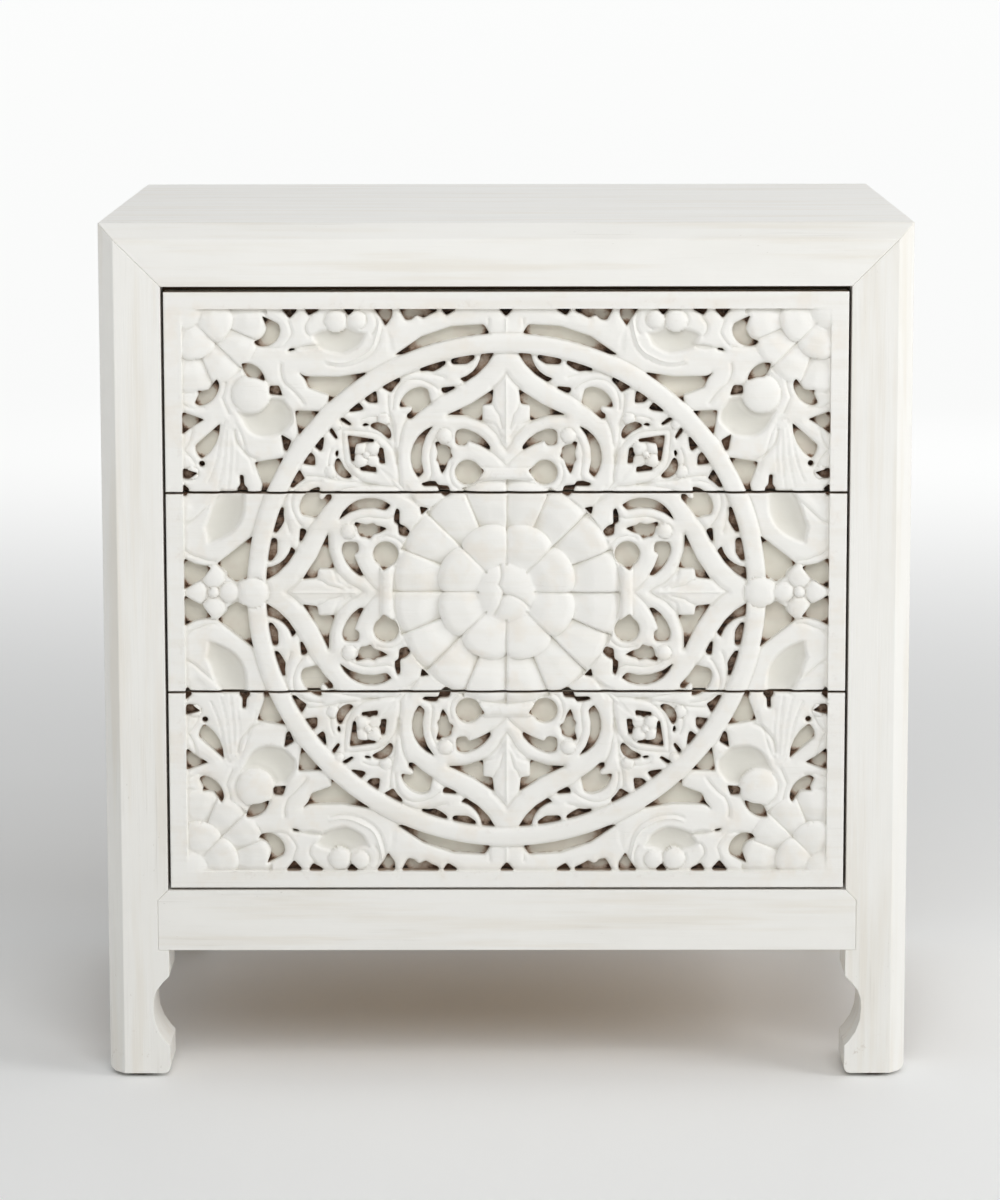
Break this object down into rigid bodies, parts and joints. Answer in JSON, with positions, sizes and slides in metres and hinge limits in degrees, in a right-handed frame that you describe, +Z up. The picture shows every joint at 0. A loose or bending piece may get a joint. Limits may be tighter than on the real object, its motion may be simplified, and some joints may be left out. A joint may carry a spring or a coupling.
{
  "type": "nightstand with drawers",
  "caption": "Painted wooden bedside chest on block legs, with full-width drawers whose fronts share one pierced and carved round medallion.",
  "frame": {"origin": "on the floor, under the middle of the piece", "axes": "+X to the right seen from the front, +Y to the back, +Z up. The drawers open towards -Y"},
  "size_m": [0.61, 0.43, 0.655],
  "materials": {
    "painted_frame": "thin white paint, matt, grain shows",
    "painted_carving": "thin white paint, matt, worn in the hollows",
    "painted_backing": "thin grey-beige paint, matt",
    "bare_wood": "sawn and planed, no finish",
    "thin_ply": "bare plywood",
    "screw_steel": "zinc plated",
    "brown_felt": "dark brown felt"
  },
  "bodies": {
    "case": {"top_board": "painted_frame", "top_rail": "painted_frame", "bottom_rail": "painted_frame", "leg_front_left": "painted_frame", "leg_front_right": "painted_frame", "leg_back_left": "painted_frame", "leg_back_right": "painted_frame", "side_board_left": "painted_frame", "side_board_right": "painted_frame", "side_rail_upper_left": "painted_frame", "side_rail_upper_right": "painted_frame", "side_rail_lower_left": "painted_frame", "side_rail_lower_right": "painted_frame", "back_rail_upper": "painted_frame", "back_rail_lower": "painted_frame", "back_board": "thin_ply", "back_board_screws": "screw_steel", "dust_board": "thin_ply", "dust_board_ledgers": "bare_wood", "glue_blocks": "bare_wood", "divider_upper": "bare_wood", "divider_lower": "bare_wood", "kicker_rail": "bare_wood", "sill_strip": "bare_wood", "runners_top": "bare_wood", "runners_middle": "bare_wood", "runners_bottom": "bare_wood", "guides_top": "bare_wood", "guides_middle": "bare_wood", "guides_bottom": "bare_wood", "kicker_strips": "bare_wood", "foot_pads": "brown_felt"},
    "drawer_bottom": {"fret_panel_bottom": "painted_carving", "front_board_bottom": "painted_backing", "drawer_side_left_bottom": "bare_wood", "drawer_side_right_bottom": "bare_wood", "drawer_back_bottom": "bare_wood", "drawer_bottom_bottom": "thin_ply", "stop_block_bottom": "bare_wood", "drawer_screws_bottom": "screw_steel"},
    "drawer_middle": {"fret_panel_middle": "painted_carving", "front_board_middle": "painted_backing", "drawer_side_left_middle": "bare_wood", "drawer_side_right_middle": "bare_wood", "drawer_back_middle": "bare_wood", "drawer_bottom_middle": "thin_ply", "stop_block_middle": "bare_wood", "drawer_screws_middle": "screw_steel"},
    "drawer_top": {"fret_panel_top": "painted_carving", "front_board_top": "painted_backing", "drawer_side_left_top": "bare_wood", "drawer_side_right_top": "bare_wood", "drawer_back_top": "bare_wood", "drawer_bottom_top": "thin_ply", "stop_block_top": "bare_wood", "drawer_screws_top": "screw_steel"}
  },
  "joints": [
    {"name": "drawer_bottom_slide", "type": "slide", "parent": "case", "child": "drawer_bottom", "axis": [0, -1, 0], "range_m": [0, 0.308]},
    {"name": "drawer_middle_slide", "type": "slide", "parent": "case", "child": "drawer_middle", "axis": [0, -1, 0], "range_m": [0, 0.308]},
    {"name": "drawer_top_slide", "type": "slide", "parent": "case", "child": "drawer_top", "axis": [0, -1, 0], "range_m": [0, 0.308]}
  ]
}
